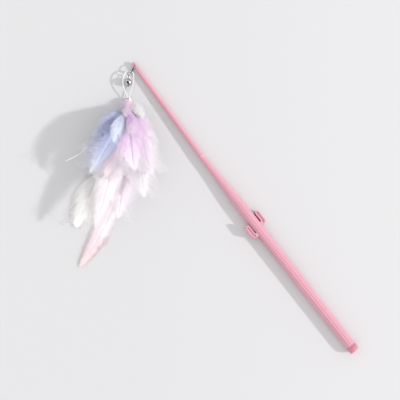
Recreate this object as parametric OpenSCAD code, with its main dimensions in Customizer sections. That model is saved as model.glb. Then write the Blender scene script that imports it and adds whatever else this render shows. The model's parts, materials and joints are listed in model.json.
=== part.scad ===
// Cat teaser wand: a fluted handle with two winding hooks, a slim rod with an eye at its tip,
// an oval link, and a feather toy with a bell on a loop of cord. It lies as it does on a table:
// +X runs along the handle from the butt to the tip, +Z is up, and the origin is the butt's centre.

/* [Handle] */
// Length of the whole wand, from the butt to the end of the rod
wand_length = 420; // [380:1:480]
// Length of the handle, from the butt to the seam with the rod
handle_length = 283; // [260:1:310]
// Distance from the handle's axis to the centre of each rib
rib_centre_r = 4.85; // [4.7:0.05:5.1]
// Radius of each rib's round crest
rib_r = 1.35; // [1.3:0.05:1.45]
// Number of ribs round the handle
rib_count = 12; // [12:12]
// Radius at the bottom of the grooves between the ribs
groove_r = 5.65; // [5.5:0.05:5.75]
// Radius of the handle where it meets the rod
nose_r = 3.4; // [3.2:0.05:3.8]
// Length of the flare from the handle's full width to its nose
flare_length = 78; // [70:1:110]
// Radius of the hollow inside the handle
hollow_r = 4; // [3.5:0.05:4.2]
// Length of the solid nose that holds the rod
nose_solid_length = 71; // [60:1:80]

/* [End cap] */
// Length of the smooth end cap that shows
cap_length = 8; // [6:0.5:12]
// Radius of the smooth end cap
cap_r = 6; // [5.6:0.05:6.03]
// Round edge of the end cap
cap_edge_r = 1.6; // [1:0.1:2]
// Length of the cap's plug inside the handle
plug_length = 14; // [8:1:30]
// Radius of the hollow in the plug
plug_hollow_r = 2.4; // [1.5:0.1:2.8]

/* [Rod] */
// Radius of the rod at its seam with the handle
rod_r = 3.35; // [3.1:0.05:3.4]
// Radius of the rod at its tip
tip_r = 2.3; // [2.1:0.05:2.6]
// Radius of the rod's tang inside the nose
tang_r = 2.2; // [1.8:0.05:2.4]
// Length of the tang inside the nose
tang_length = 48; // [30:1:60]
// How far the tip leans to the right of the handle's line
tip_side = 4.4; // [3:0.1:6]
// How far the tip lies below the handle's line
tip_drop = 2.1; // [1.9:0.05:2.3]
// Distance from the rod's end back to the centre of its eye
eye_from_end = 4.6; // [4:0.1:6]
// Radius of the eye's hole
eye_hole_r = 1.15; // [1.1:0.05:1.25]
// Thickness of the flattened tip round the eye
blade_thickness = 3; // [2.6:0.1:3.1]
// Length of the flat behind the eye
blade_flat = 5; // [4:0.5:8]

/* [Winding hooks] */
// Distance from the handle's axis to the inside of a hook's arm
hook_inner_r = 7.6; // [7.4:0.1:7.8]
// Distance from the handle's axis to the outside of a hook's arm
hook_outer_r = 12.4; // [12:0.1:12.4]
// Width of a hook
hook_width = 6; // [5:0.1:6]
// Length of a hook along the handle
hook_length = 17.5; // [14:0.5:22]
// Thickness of a hook's base along the handle
hook_base = 4.4; // [3.5:0.1:5]
// Round outer corner of a hook
hook_corner_r = 4; // [3:0.1:4.2]
// Round inner corner of a hook
hook_fillet_r = 1.2; // [0.8:0.1:1.2]
// Width of the rim round a hook's sunken faces
hook_rim = 1.5; // [1.3:0.1:1.7]
// Depth of a hook's sunken faces
hook_sink = 1.4; // [0.8:0.1:2]
// Distance from the butt to the base of the left hook
left_hook_x = 173; // [150:1:180]
// Distance from the butt to the base of the right hook
right_hook_x = 180; // [150:0.5:185]
// Angle by which the hooks lie off level, left one up and right one down
hook_roll = 14; // [10:1:14]

/* [Oval link] */
// Length of the link, outside
link_length = 11.1; // [10:0.1:12]
// Width of the link, outside
link_width = 8.4; // [8:0.1:9]
// Thickness of the link's wire
link_wire = 1.1; // [1:0.05:1.2]
// Direction in which the link points, from the wand's axis
link_yaw = 112; // [105:1:118]

/* [Cord loop] */
// Thickness of the cord
cord_d = 1.3; // [1.1:0.05:1.4]
// Length of the loop from its top to the ferrule
loop_length = 31.5; // [31.5:0.5:33]
// Direction in which the toy points, from the wand's axis
toy_yaw = 138.5; // [132:0.5:142]
// Angle by which the loop is tilted, left side up
loop_tilt = 20; // [15:1:22]

/* [Bell] */
// Outer radius of the bell's shells
bell_r = 4.75; // [4.5:0.05:4.8]
// Thickness of the bell's sheet metal
bell_wall = 0.35; // [0.3:0.05:0.5]
// Distance from the cord to the centre of the bell
bell_reach = 12.3; // [12.1:0.1:12.7]
// Radius of the jump ring that carries the bell, at the middle of its wire
ring_r = 3; // [2.9:0.05:3.1]
// Thickness of the jump ring's wire
ring_wire = 0.7; // [0.6:0.05:0.75]
// Thickness of the bell's wire shank
shank_wire = 0.8; // [0.7:0.05:0.9]
// Distance between the middles of the shank's legs
shank_width = 2.6; // [2.5:0.05:2.8]
// Width of the bell's slots
slot_width = 0.8; // [0.6:0.05:1]
// Radius of the round ends of the slots
slot_end_r = 0.95; // [0.8:0.05:1]
// Radius of the loose pea in the bell
pea_r = 1.2; // [1.1:0.05:1.6]

/* [Ferrule] */
// Length of the crimped ferrule that holds the feathers
ferrule_length = 8; // [7:0.5:10]
// Outer radius of the ferrule
ferrule_r = 3.5; // [3.4:0.05:3.6]
// Wall of the ferrule
ferrule_wall = 0.4; // [0.3:0.05:0.45]
// Outer radius of the downy collar round the ferrule
collar_r = 4.6; // [4.2:0.05:4.65]

/* [Feathers] */
// Thickness of a feather's quill
quill_d = 0.6; // [0.5:0.02:0.62]
// Thickness of a flat vane at its middle
vane_thickness = 1; // [0.6:0.1:1.4]
// Reach of the feathers from the ferrule, just past the longest one's tip
feather_reach = 200; // [180:5:220]

/* [Hidden] */

$fn = 96;
// Overrun of every cut
over = 1;
// Gap of pieces that slide or press together
fit_gap = 0.05;
// Gap between pieces that hang loosely on each other
loose_gap = 0.1;
// Gap under a piece that lies on the table
rest_gap = 0.05;

// Level of the table under the two lowest ribs
table_z = -(rib_centre_r * cos(180 / rib_count) + rib_r);
// Envelope of the handle, just clear of the ribs' crests
envelope_clear = 0.1;
envelope_r = rib_centre_r + rib_r + envelope_clear;
// The flare: shares of its length from the nose, and of its rise
flare_shares = [[0, 0], [0.2, 0.07], [0.39, 0.22], [0.57, 0.47], [0.73, 0.71], [0.89, 0.91], [1, 1]];

// Place of the rod's eye
eye_x = wand_length - eye_from_end;
eye = [eye_x, -tip_side, -tip_drop];
rod_start = [handle_length, 0, 0];
rod_vector = eye - rod_start;
rod_run = norm(rod_vector);
rod_yaw = atan2(rod_vector[1], rod_vector[0]);
rod_pitch = asin(rod_vector[2] / rod_run);
blade_blend_r = 2 * blade_thickness;

// Place of the oval link, which stands on edge in the eye
link_end_r = (link_width - link_wire) / 2;
link_straight = link_length - link_width;
link_z = table_z + link_width / 2 + rest_gap;
// How far the link's wire sits behind the middle of the hole
link_setback = 0.25;
link_near = [
    eye[0] - link_setback * cos(link_yaw), eye[1] - link_setback * sin(link_yaw), link_z
];
link_reach = link_length - link_wire;

// Place of the loop's top, where the cord crosses the link's far end
cord_r = cord_d / 2;
crossing_reach = link_reach - link_wire / 2 - cord_r - loose_gap;
crossing_side = 1.6;
crossing = link_near + crossing_reach * [cos(link_yaw), sin(link_yaw), 0];
right_of_toy = [
    -sin(toy_yaw) * cos(loop_tilt), cos(toy_yaw) * cos(loop_tilt), -sin(loop_tilt)
];
loop_top = crossing - crossing_side * right_of_toy;

// Cord's route from one end in the ferrule round to the other, across and along the toy
cord_points = [
    [34.4, -0.8], [33, -0.8], [31.5, -0.85], [29.5, -1.2], [27.2, -2.1], [24.5, -3.6], [21.5, -5.2],
    [18, -6.7], [15, -7.6], [12, -8], [9, -7.95], [6.5, -7.6], [4.4, -7], [2.7, -6.2], [1.4, -5.3],
    [0.5, -4.4], [0.1, -3.6], [0, -2.8], [0, -1.5], [0, 0], [0, 1.5], [0.1, 2.4], [0.5, 3.3],
    [1.3, 4.1], [2.4, 4.55], [4, 4.7], [6, 4.75], [9, 4.75], [12, 4.6], [15, 4.1], [19, 3.1],
    [23, 2.15], [26.5, 1.45], [29.5, 0.95], [31.5, 0.8], [33, 0.8], [34.4, 0.8]
];
cord_sides = 8;

// The bell, in the loop's frame
bell_side = -1.6;
bell_rim = 0.2;
bell_rim_length = 0.8;
bell_rest_r = bell_r + bell_rim;
bell_lift = table_z + bell_rest_r + rest_gap - loop_top[2] + bell_side * sin(loop_tilt);
bell_pitch = asin(bell_lift / (bell_reach * cos(loop_tilt)));
shank_r = shank_wire / 2;
ring_centre = ring_r - ring_wire / 2 - cord_r - loose_gap;
shank_top = ring_centre + ring_r - ring_wire / 2 - loose_gap - shank_r;
shank_bend = shank_top + shank_width / 2;
shank_inside = 0.6;
bell_top_reach = bell_reach - sqrt(pow(bell_r, 2) - pow(shank_width / 2, 2));
shank_legs = bell_top_reach + bell_wall + shank_inside;
slot_cross_angles = [0, 90];
slot_end_latitude = 18;
pea_drop = bell_r - bell_wall - pea_r - fit_gap;

// The ferrule and the quills in it, in the loop's frame
ferrule_bore_r = ferrule_r - ferrule_wall;
ferrule_start = loop_length - cord_r;
cord_end = cord_points[0][0];
glue_length = 0.7;
quill_start = cord_end + glue_length;
root_x = ferrule_start + ferrule_length;
quill_pitch = 0.72;

// The three steps from the wand's frame to the toy's
module in_toy() {
    translate(loop_top) rotate([0, 0, toy_yaw]) rotate([-loop_tilt, 0, 0]) children();
}

module on_root() {
    translate(loop_top) rotate([0, 0, toy_yaw]) translate([root_x, 0, 0]) children();
}

module in_bell() {
    in_toy() translate([0, bell_side, 0]) rotate([0, -bell_pitch, 0]) children();
}

// Handle
module rib_section() {
    circle(r = groove_r);
    for (i = [0 : rib_count - 1])
        rotate((i + 0.5) * 360 / rib_count) translate([rib_centre_r, 0]) circle(r = rib_r, $fn = 48);
}

module handle_envelope() {
    points = [
        for (s = flare_shares) [
            nose_r + (envelope_r - nose_r) * s[1],
            handle_length - flare_length * s[0]
        ]
    ];
    rotate([0, 90, 0])
        rotate_extrude()
            polygon(concat([[0, handle_length]], points, [[envelope_r, cap_length], [0, cap_length]]));
}

module hook_pocket(x, side) {
    tenon_start = hook_tenon_r - fit_gap;
    rotate([hook_roll, 0, 0])
        translate([x - fit_gap, 0, -hook_width / 2 - fit_gap])
            translate([0, side > 0 ? tenon_start : -tenon_start - hook_outer_r, 0])
                cube([hook_base + 2 * fit_gap, hook_outer_r, hook_width + 2 * fit_gap]);
}

// How deep the hooks' feet reach: to this share of the handle's wall, from the inside
hook_foot_share = 0.25;
hook_tenon_r = hollow_r + hook_foot_share * (groove_r - hollow_r) + fit_gap / 2;
// How far the fillet behind a hook's arm reaches into the arm and the base
hook_overlap = over / 10;

module grip() {
    color("lightpink")
        difference() {
            intersection() {
                handle_envelope();
                translate([cap_length, 0, 0])
                    rotate([0, 90, 0])
                        linear_extrude(handle_length) rib_section();
            }
            translate([cap_length - over, 0, 0])
                rotate([0, 90, 0])
                    cylinder(r = hollow_r, h = handle_length - nose_solid_length - cap_length + over);
            translate([handle_length - nose_solid_length - over, 0, 0])
                rotate([0, 90, 0])
                    cylinder(r = tang_r + fit_gap, h = nose_solid_length + 2 * over);
            hook_pocket(left_hook_x, 1);
            hook_pocket(right_hook_x, -1);
        }
}

module hook_outline() {
    arm = hook_outer_r - hook_inner_r;
    translate([hook_corner_r, hook_inner_r]) square([hook_length - hook_corner_r - arm / 2, arm]);
    translate([hook_length - arm / 2, hook_inner_r + arm / 2]) circle(d = arm);
    translate([0, hook_tenon_r]) square([hook_base, hook_outer_r - hook_corner_r - hook_tenon_r]);
    intersection() {
        translate([hook_corner_r, hook_outer_r - hook_corner_r]) circle(r = hook_corner_r);
        translate([0, hook_outer_r - hook_corner_r]) square(hook_corner_r);
    }
    difference() {
        translate([hook_base - hook_overlap, hook_inner_r - hook_fillet_r])
            square(hook_fillet_r + hook_overlap);
        translate([hook_base + hook_fillet_r, hook_inner_r - hook_fillet_r]) circle(r = hook_fillet_r);
    }
}

// The sunken face inside a hook's rim, along its arm and round its corner
module hook_sunken_face() {
    arm = hook_outer_r - hook_inner_r;
    sunken = arm - 2 * hook_rim;
    translate([hook_corner_r, hook_inner_r + hook_rim])
        square([hook_length - hook_corner_r - arm / 2, sunken]);
    translate([hook_length - arm / 2, hook_inner_r + arm / 2]) circle(d = sunken);
    intersection() {
        translate([hook_corner_r, hook_outer_r - hook_corner_r]) circle(r = hook_corner_r - hook_rim);
        translate([0, hook_outer_r - hook_corner_r]) square(hook_corner_r);
    }
}

module hook(x, side) {
    web = hook_width / 2 - hook_sink;
    color("lightpink")
        rotate([hook_roll, 0, 0])
            translate([x, 0, 0])
                scale_y(side)
                    difference() {
                        translate([0, 0, -hook_width / 2]) linear_extrude(hook_width) hook_outline();
                        translate([0, 0, web]) linear_extrude(hook_sink + over) hook_sunken_face();
                        mirror([0, 0, 1])
                            translate([0, 0, web]) linear_extrude(hook_sink + over) hook_sunken_face();
                    }
}

module scale_y(side) {
    if (side > 0) children();
    else mirror([0, 1, 0]) children();
}

module left_hook() { hook(left_hook_x, 1); }

module right_hook() { hook(right_hook_x, -1); }

module end_cap() {
    color("hotpink")
        difference() {
            rotate([0, 90, 0])
                union() {
                    rotate_extrude() {
                        square([cap_r - cap_edge_r, cap_length]);
                        translate([0, cap_edge_r]) square([cap_r, cap_length - cap_edge_r]);
                        translate([cap_r - cap_edge_r, cap_edge_r]) circle(r = cap_edge_r);
                    }
                    translate([0, 0, cap_length - over])
                        cylinder(r = hollow_r - fit_gap, h = plug_length + over);
                }
            translate([cap_length, 0, 0])
                rotate([0, 90, 0]) cylinder(r = plug_hollow_r, h = plug_length + over);
        }
}

// Rod
module blade_cut(side) {
    translate([eye_x - blade_flat, -wand_length / 2 - tip_side, 0])
        translate([0, 0, side > 0 ? blade_thickness / 2 : -blade_thickness / 2 - tip_r * 2])
            cube([wand_length, wand_length, tip_r * 2]);
    translate([eye_x - blade_flat, wand_length / 2, side * (blade_thickness / 2 + blade_blend_r)])
        rotate([90, 0, 0]) cylinder(r = blade_blend_r, h = wand_length);
}

// Half of the rod's lengthwise section, from just inside the handle to its round end
module rod_profile() {
    end_centre = rod_run + eye_from_end - tip_r;
    polygon([[0, -over], [rod_r, -over], [tip_r, rod_run], [tip_r, end_centre], [0, end_centre]]);
    translate([0, end_centre])
        intersection() {
            circle(r = tip_r);
            square(tip_r);
        }
}

module rod() {
    color("lightpink") {
        translate([handle_length - tang_length, 0, 0])
            rotate([0, 90, 0]) cylinder(r = tang_r, h = tang_length + over);
        difference() {
            translate(rod_start) rotate([0, 90 - rod_pitch, rod_yaw]) rotate_extrude() rod_profile();
            translate([handle_length - wand_length, -wand_length / 2, -wand_length / 2])
                cube([wand_length, wand_length, wand_length]);
            translate([0, 0, eye[2]]) {
                blade_cut(1);
                blade_cut(-1);
            }
            translate([eye[0], eye[1], eye[2] - tip_r - over])
                cylinder(r = eye_hole_r, h = 2 * (tip_r + over));
        }
    }
}

// Link
module half_ring(r, wire) {
    rotate([0, 0, 90]) rotate_extrude(angle = 180) translate([r, 0]) circle(d = wire, $fn = 32);
}

module oval_link() {
    color("silver")
        translate(link_near)
            rotate([0, 0, link_yaw])
                translate([link_end_r, 0, 0])
                    rotate([90, 0, 0]) {
                        half_ring(link_end_r, link_wire);
                        translate([link_straight, 0, 0]) rotate([0, 0, 180]) half_ring(link_end_r, link_wire);
                        for (y = [-link_end_r, link_end_r])
                            translate([0, y, 0])
                                rotate([0, 90, 0]) cylinder(d = link_wire, h = link_straight, $fn = 32);
                    }
}

// A tube swept along points
function unit(v) = v / norm(v);
function across(a, b) = unit(cross(b - a, [0, 0, 1]));
function tube_ring(points, i, r, sides) =
    let (
        last = len(points) - 1,
        a = points[max(i - 1, 0)],
        b = points[min(i + 1, last)],
        side = across(a, b),
        up = unit(cross(side, b - a))
    )
    [for (k = [0 : sides - 1]) points[i] + r * (cos(360 * k / sides) * side + sin(360 * k / sides) * up)];

module tube(points, r, sides) {
    rings = [for (i = [0 : len(points) - 1]) each tube_ring(points, i, r, sides)];
    last = (len(points) - 1) * sides;
    faces = concat(
        [[for (k = [0 : sides - 1]) k]],
        [[for (k = [sides - 1 : -1 : 0]) last + k]],
        [
            for (i = [0 : len(points) - 2], k = [0 : sides - 1], half = [0, 1])
            let (a = i * sides + k, b = i * sides + (k + 1) % sides)
            half == 0 ? [a, a + sides, b] : [b, a + sides, b + sides]
        ]
    );
    polyhedron(points = rings, faces = faces);
}

module cord_loop() {
    color("white") in_toy() tube([for (p = cord_points) [p[0], p[1], 0]], cord_r, cord_sides);
}

// Ferrule
module ferrule() {
    color("silver")
        in_toy()
            translate([ferrule_start, 0, 0])
                rotate([0, 90, 0])
                    difference() {
                        cylinder(r = ferrule_r, h = ferrule_length);
                        translate([0, 0, -over]) cylinder(r = ferrule_bore_r, h = ferrule_length + 2 * over);
                    }
}

module glue_plug() {
    color("ivory")
        in_toy()
            translate([cord_end, 0, 0])
                rotate([0, 90, 0]) cylinder(r = ferrule_bore_r - fit_gap, h = glue_length);
}

// Where the collar is full, as shares of the ferrule's length
collar_shares = [0.3, 0.8];

module down_collar() {
    color("orchid")
        in_toy()
            translate([ferrule_start, 0, 0])
                rotate([0, 90, 0])
                    rotate_extrude()
                        polygon([
                            [ferrule_r + fit_gap, 0],
                            [(ferrule_r + collar_r) / 2, 0],
                            [collar_r, ferrule_length * collar_shares[0]],
                            [collar_r, ferrule_length * collar_shares[1]],
                            [ferrule_r + 4 * fit_gap, ferrule_length],
                            [ferrule_r + fit_gap, ferrule_length]
                        ]);
}

// Bell
module bell_ball() {
    translate([bell_reach, 0, 0])
        difference() {
            sphere(r = bell_r);
            sphere(r = bell_r - bell_wall);
        }
}

module bell_upper_shell() {
    color("silver")
        in_bell()
            difference() {
                union() {
                    intersection() {
                        bell_ball();
                        translate([bell_reach - 2 * bell_r, -bell_r, -bell_r]) cube(2 * bell_r);
                    }
                    translate([bell_reach - bell_rim_length, 0, 0])
                        rotate([0, 90, 0])
                            difference() {
                                cylinder(r = bell_r + bell_rim, h = bell_rim_length);
                                translate([0, 0, -over])
                                    cylinder(r = bell_r - bell_wall / 2, h = bell_rim_length + 2 * over);
                            }
                }
                for (y = [-shank_width / 2, shank_width / 2])
                    translate([0, y, 0]) rotate([0, 90, 0]) cylinder(r = shank_r + fit_gap, h = bell_reach);
            }
}

module bell_lower_shell() {
    color("silver")
        in_bell()
            difference() {
                intersection() {
                    bell_ball();
                    translate([bell_reach, -bell_r, -bell_r]) cube(2 * bell_r);
                }
                for (a = slot_cross_angles)
                    translate([bell_reach, 0, 0])
                        rotate([a, 0, 0]) {
                            slot_reach = bell_r * sin(slot_end_latitude);
                            translate([slot_reach, -bell_r, -slot_width / 2])
                                cube([bell_r, 2 * bell_r, slot_width]);
                            for (side = [0, 180])
                                rotate([side, 0, 0])
                                    rotate([0, 0, -slot_end_latitude])
                                        rotate([-90, 0, 0]) cylinder(r = slot_end_r, h = bell_r + over);
                        }
            }
}

module bell_shank() {
    color("silver")
        in_bell() {
            translate([shank_bend, 0, 0]) half_ring(shank_width / 2, shank_wire);
            for (y = [-shank_width / 2, shank_width / 2])
                translate([shank_bend, y, 0])
                    rotate([0, 90, 0]) cylinder(d = shank_wire, h = shank_legs - shank_bend, $fn = 32);
        }
}

module bell_ring() {
    color("silver")
        in_bell()
            translate([ring_centre, 0, 0])
                rotate([90, 0, 0]) rotate_extrude() translate([ring_r, 0]) circle(d = ring_wire, $fn = 32);
}

bell_centre = loop_top
    + bell_side * right_of_toy
    + bell_reach * cos(bell_pitch) * [cos(toy_yaw), sin(toy_yaw), 0]
    + bell_reach * sin(bell_pitch) * [
        -sin(toy_yaw) * sin(loop_tilt), cos(toy_yaw) * sin(loop_tilt), cos(loop_tilt)
    ];

module bell_pea() {
    color("dimgray") translate(bell_centre - [0, 0, pea_drop]) sphere(r = pea_r);
}

// Feathers. Every feather starts in the ferrule and lies on the surface of its own layer, whose
// height depends only on the distance from the root, so that no two layers meet.
layer_count = 8;
// Shares of the feathers' reach for each layer: its slope at the root, how much of it is lost
// along the reach, and its lift close to the root
layer_shares = [
    [0, 0, -0.0165], [0.16, 0.5, 0], [0.36, 0.55, 0], [0.5, 0.85, 0],
    [0.75, 1.2, 0], [0.95, 1.55, 0], [1.3, 1.5, 0], [1.6, 1.3, 0]
];
near_root_share = 0.055;
quill_fade_share = 0.04;

function layer_height(layer, r) =
    let (q = r / feather_reach, shares = layer_shares[layer])
    (layer - (layer_count - 1) / 2) * quill_pitch * quill_fade_share / (q + quill_fade_share)
        + feather_reach * (
            shares[0] * q * (1 - shares[1] * q)
                + shares[2] * q / (q + near_root_share)
        );

stations = 16;
section_sides = 6;
function bend(a, b, c, t) = (1 - t) * (1 - t) * a + 2 * t * (1 - t) * b + t * t * c;
vane_fullness = 0.7;
function vane_profile(u, widest) =
    u <= 0 ? 0 : pow(sin(180 * pow(min(u, 1), widest)), vane_fullness);

// A feather: its layer, its quill's place across the ferrule as a share of the bore, and shares of
// the feathers' reach for the point that it bends towards, its tip and its half width. Then where
// its vane begins, and how near its tip the vane is widest.
module feather(layer, across_share, bend_share, tip_share, half_width_share, vane_start_share, widest) {
    start = [0, across_share * ferrule_bore_r];
    middle = feather_reach * bend_share;
    tip = feather_reach * tip_share;
    path = concat(
        [[quill_start - root_x, start[1]], start],
        [for (i = [1 : stations]) bend(start, middle, tip, i / stations)]
    );
    count = len(path);
    heading = [
        for (i = [0 : count - 1]) unit(path[min(i + 1, count - 1)] - path[max(i - 1, 0)])
    ];
    profile = [
        for (i = [0 : count - 1])
        vane_profile(((i - 1) / stations - vane_start_share) / (1 - vane_start_share), widest)
    ];
    points = [
        for (i = [0 : count - 1])
        let (
            w = max(quill_d / 2, feather_reach * half_width_share * profile[i]),
            h = max(quill_d / 2, vane_thickness / 2 * min(1, 3 * profile[i])),
            side = [-heading[i][1], heading[i][0]]
        )
        for (k = [0 : section_sides - 1])
        let (
            flat = path[i] + w * cos(360 * k / section_sides) * side,
            r = flat[0] > 0 ? norm(flat) : 0
        )
        [flat[0], flat[1], layer_height(layer, r) + h * sin(360 * k / section_sides)]
    ];
    last = (count - 1) * section_sides;
    faces = concat(
        [[for (k = [section_sides - 1 : -1 : 0]) k]],
        [[for (k = [0 : section_sides - 1]) last + k]],
        [
            for (i = [0 : count - 2], k = [0 : section_sides - 1], half = [0, 1])
            let (a = i * section_sides + k, b = i * section_sides + (k + 1) % section_sides)
            half == 0 ? [a, b, a + section_sides] : [b, b + section_sides, a + section_sides]
        ]
    );
    on_root() polyhedron(points = points, faces = faces);
}

module salmon_feather() {
    color("salmon") feather(0, 0, [0.47, 0.07], [0.95, -0.23], 0.055, 0.62, 0.9);
}

module white_left_feather() {
    color("ghostwhite") feather(0, -0.32, [0.37, -0.13], [0.73, -0.27], 0.065, 0.4, 1.9);
}

module lilac_low_feather() {
    color("thistle") feather(1, 0.32, [0.37, 0.01], [0.66, -0.02], 0.045, 0.3, 0.9);
}

module pale_right_feather() {
    color("mistyrose") feather(2, 0.45, [0.27, 0.08], [0.53, 0.13], 0.05, 0.25, 0.9);
}

module white_long_feather() {
    color("white") feather(2, 0, [0.37, -0.06], [0.72, -0.14], 0.05, 0.25, 0.8);
}

module lavender_feather() {
    color("lightsteelblue") feather(2, -0.5, [0.28, -0.185], [0.345, -0.335], 0.0375, 0.2, 0.7);
}

module rose_feather() {
    color("pink") feather(3, 0, [0.22, -0.04], [0.43, -0.1], 0.05, 0.2, 0.9);
}

module right_pink_feather() {
    color("lavenderblush") feather(3, 0.5, [0.19, 0.08], [0.4, 0.17], 0.06, 0.15, 0.9);
}

module periwinkle_feather() {
    color("cornflowerblue") feather(5, -0.32, [0.21, -0.06], [0.41, -0.19], 0.065, 0.12, 0.85);
}

module lilac_plume() {
    color("plum") feather(4, 0.2, [0.19, 0.02], [0.39, 0.07], 0.085, 0.1, 0.9);
}

module light_blue_feather() {
    color("lightblue") feather(6, -0.29, [0.09, -0.04], [0.23, -0.06], 0.03, 0.45, 0.9);
}

module mauve_tuft() {
    color("mediumorchid") feather(6, 0.26, [0.06, 0.03], [0.16, 0.04], 0.035, 0.25, 0.9);
}

module white_tuft() {
    color("white") feather(5, 0.38, [0.01, 0.03], [0.06, 0.085], 0.025, 0.15, 0.9);
}

module magenta_tuft() {
    color("violet") feather(7, 0, [0.01, 0], [0.075, -0.01], 0.04, 0.05, 0.9);
}

rod();
grip();
left_hook();
right_hook();
end_cap();
oval_link();
cord_loop();
ferrule();
glue_plug();
down_collar();
bell_ring();
bell_upper_shell();
bell_lower_shell();
bell_shank();
bell_pea();
salmon_feather();
white_left_feather();
lilac_low_feather();
pale_right_feather();
white_long_feather();
lavender_feather();
rose_feather();
right_pink_feather();
periwinkle_feather();
lilac_plume();
light_blue_feather();
mauve_tuft();
white_tuft();
magenta_tuft();
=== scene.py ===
import json
import math
import random
from collections import namedtuple

import bmesh
import bpy
from mathutils import Matrix, Vector


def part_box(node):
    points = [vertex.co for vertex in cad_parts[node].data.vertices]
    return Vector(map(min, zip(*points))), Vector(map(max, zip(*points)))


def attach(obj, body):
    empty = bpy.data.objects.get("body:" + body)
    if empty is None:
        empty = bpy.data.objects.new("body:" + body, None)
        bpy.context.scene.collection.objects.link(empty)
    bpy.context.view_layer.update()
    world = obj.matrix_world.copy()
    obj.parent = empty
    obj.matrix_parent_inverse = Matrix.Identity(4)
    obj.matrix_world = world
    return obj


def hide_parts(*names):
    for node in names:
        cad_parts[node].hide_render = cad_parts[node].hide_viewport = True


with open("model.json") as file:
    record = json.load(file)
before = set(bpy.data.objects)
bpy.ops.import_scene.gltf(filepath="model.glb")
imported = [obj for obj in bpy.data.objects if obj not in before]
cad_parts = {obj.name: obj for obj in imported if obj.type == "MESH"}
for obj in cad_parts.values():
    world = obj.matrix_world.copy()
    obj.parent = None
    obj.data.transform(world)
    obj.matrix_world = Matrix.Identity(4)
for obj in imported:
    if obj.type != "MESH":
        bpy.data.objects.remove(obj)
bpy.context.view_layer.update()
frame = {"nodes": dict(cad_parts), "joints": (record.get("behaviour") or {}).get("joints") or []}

bl_info = {
    "name": "Cat teaser wand",
    "version": (1, 0, 0),
    "blender": (4, 5, 0),
    "location": "3D View > Sidebar > Wand",
    "description": "Dresses a cat teaser wand: plastic handle, metal link and bell, cord and feathers",
    "category": "Object",
}

MM = 0.001
JOINTS = {joint["name"]: joint for joint in frame["joints"]}
TABLE_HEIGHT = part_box("grip")[0].z

# The loop of cord: its frame comes from the joint that it swings on, where it crosses the link
CROSSING = Vector(JOINTS["toy_swing"]["pos_m"])
LOOP_RIGHT = Vector(JOINTS["toy_swing"]["axis"]).normalized()
TOY_YAW = math.atan2(-LOOP_RIGHT.x, LOOP_RIGHT.y)
TOY_FORWARD = Vector((math.cos(TOY_YAW), math.sin(TOY_YAW), 0))
TOY_SIDE = Vector((-math.sin(TOY_YAW), math.cos(TOY_YAW), 0))
CROSSING_SIDE = 1.6 * MM
LOOP_TOP = CROSSING - CROSSING_SIDE * LOOP_RIGHT

# The ferrule, along the toy from the loop's top
FERRULE_START = 30.85 * MM
FERRULE_LENGTH = 8 * MM
FERRULE_BORE = 3.1 * MM
QUILL_DEPTH = 3.75 * MM
ROOT = LOOP_TOP + (FERRULE_START + FERRULE_LENGTH) * TOY_FORWARD

# The cord's route, in millimetres along the toy and across it, from one end round to the other
CORD_ROUTE = (
    (34.4, -0.8), (33, -0.8), (31.5, -0.85), (29.5, -1.2), (27.2, -2.1), (24.5, -3.6), (21.5, -5.2),
    (18, -6.7), (15, -7.6), (12, -8), (9, -7.95), (6.5, -7.6), (4.4, -7), (2.7, -6.2), (1.4, -5.3),
    (0.5, -4.4), (0.1, -3.6), (0, -2.8), (0, -1.5), (0, 0), (0, 1.5), (0.1, 2.4), (0.5, 3.3),
    (1.3, 4.1), (2.4, 4.55), (4, 4.7), (6, 4.75), (9, 4.75), (12, 4.6), (15, 4.1), (19, 3.1),
    (23, 2.15), (26.5, 1.45), (29.5, 0.95), (31.5, 0.8), (33, 0.8), (34.4, 0.8),
)

# The cord's section: its radius between two strands, and how far a strand stands out, as shares of
# half the cord's thickness. Together they stay a little under it, so that the cord clears the link.
CORD_WAIST = 0.8
CORD_STRAND = 0.15

# The feathers lie in layers. A layer's height depends only on the distance from the root.
FEATHER_REACH = 200 * MM
LAYER_COUNT = 8
LAYER_PITCH = 0.72 * MM
LAYER_SHARES = (
    (0, 0, -0.0165), (0.16, 0.5, 0), (0.36, 0.55, 0), (0.5, 0.85, 0),
    (0.75, 1.2, 0), (0.95, 1.55, 0), (1.3, 1.5, 0), (1.6, 1.3, 0),
)
NEAR_ROOT_SHARE = 0.055
QUILL_FADE_SHARE = 0.04
FLOOR_GAP = 0.3 * MM

# A vane droops more on its right side, which faces the lamp. Its barbs gather in clumps and point
# forward, and the web that hooks them together covers a share of their length.
LEFT_CAMBER = 0.06
RIGHT_CAMBER = 0.3
CLUMP_LENGTH = 5.5 * MM
BARB_SWEEP = 1.25
LEAST_BARB = 0.8 * MM
LAST_BARB = 0.985
WEB_SHARE = 0.74
QUILL_SINK = 0.5 * MM
QUILL_TAPER = 0.8

# The photo's frame, and where the handle points in it
METRES_PER_PIXEL = 1.1523 * MM
FRAME_PIXELS = 400
VIEW_MIDDLE = Vector((247.2 * MM, 32.5 * MM, 0))
HANDLE_RIGHT, HANDLE_DOWN = 0.6188, 0.7855

# The low lamp: where the shadows point, how high it stands and how wide it looks
SHADOW_DIRECTION = Vector((0.694, 0.720, 0)).normalized()
LAMP_RISE = math.radians(27.8)
LAMP_ANGLE = math.radians(3)

# The floor's colour carries painted shade: it is painted a little darker away from the lamp, between
# two distances from the wand's butt
FLOOR_TURN = math.radians(-51.8)
FLOOR_PAINTED_SHADE_SPAN = (-0.15, 0.25)
FLOOR_HALF_SIDE = 6

# How bright the room is that metal mirrors, from the horizon (0) to straight above (1)
ROOM_LEVELS = ((0, 0.08), (0.2, 0.25), (0.5, 1.5), (0.7, 1.3), (0.78, 0.05), (1, 0.03))

MERGE_DISTANCE = 0.002 * MM
WHITE = (1, 1, 1, 1)

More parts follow.
